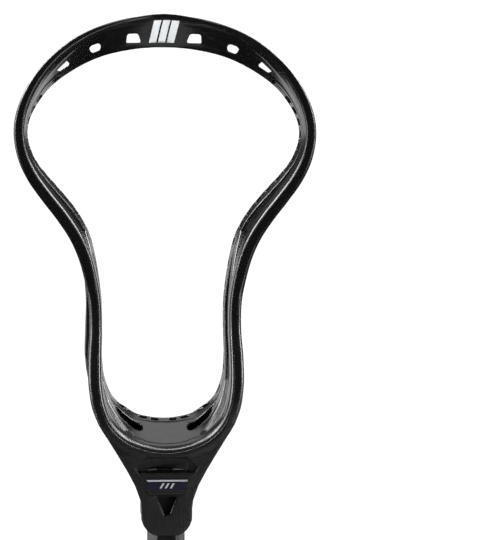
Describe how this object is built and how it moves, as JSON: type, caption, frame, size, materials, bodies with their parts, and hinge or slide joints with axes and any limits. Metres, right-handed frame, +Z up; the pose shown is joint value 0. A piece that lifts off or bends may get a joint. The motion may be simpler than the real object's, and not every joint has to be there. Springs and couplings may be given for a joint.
{
  "type": "lacrosse stick",
  "caption": "Full-length lacrosse stick: open unstrung head with a curved scoop and pierced sidewalls on an eight-sided metal shaft with a rubber end cap.",
  "frame": {"origin": "centre of the butt cap's flat end, on the shaft's axis", "axes": "+Z up the shaft to the scoop, the head's open face looks to -Y, +X to the right when looking at the face"},
  "size_m": [0.182, 0.0724, 1.045],
  "materials": {
    "head_nylon": "semi-gloss moulded nylon with a fine diamond grain on the throat and recesses",
    "badge": "gloss with a bright upper edge",
    "emblem": "printed white film",
    "shaft_metal": "satin black anodised",
    "screw_steel": "dark zinc plated",
    "cap_rubber": "matte"
  },
  "bodies": {
    "root": {"head": "head_nylon", "throat_badge": "badge", "scoop_emblem": "emblem", "shaft": "shaft_metal", "head_screw": "screw_steel", "butt_cap": "cap_rubber"}
  },
  "joints": []
}
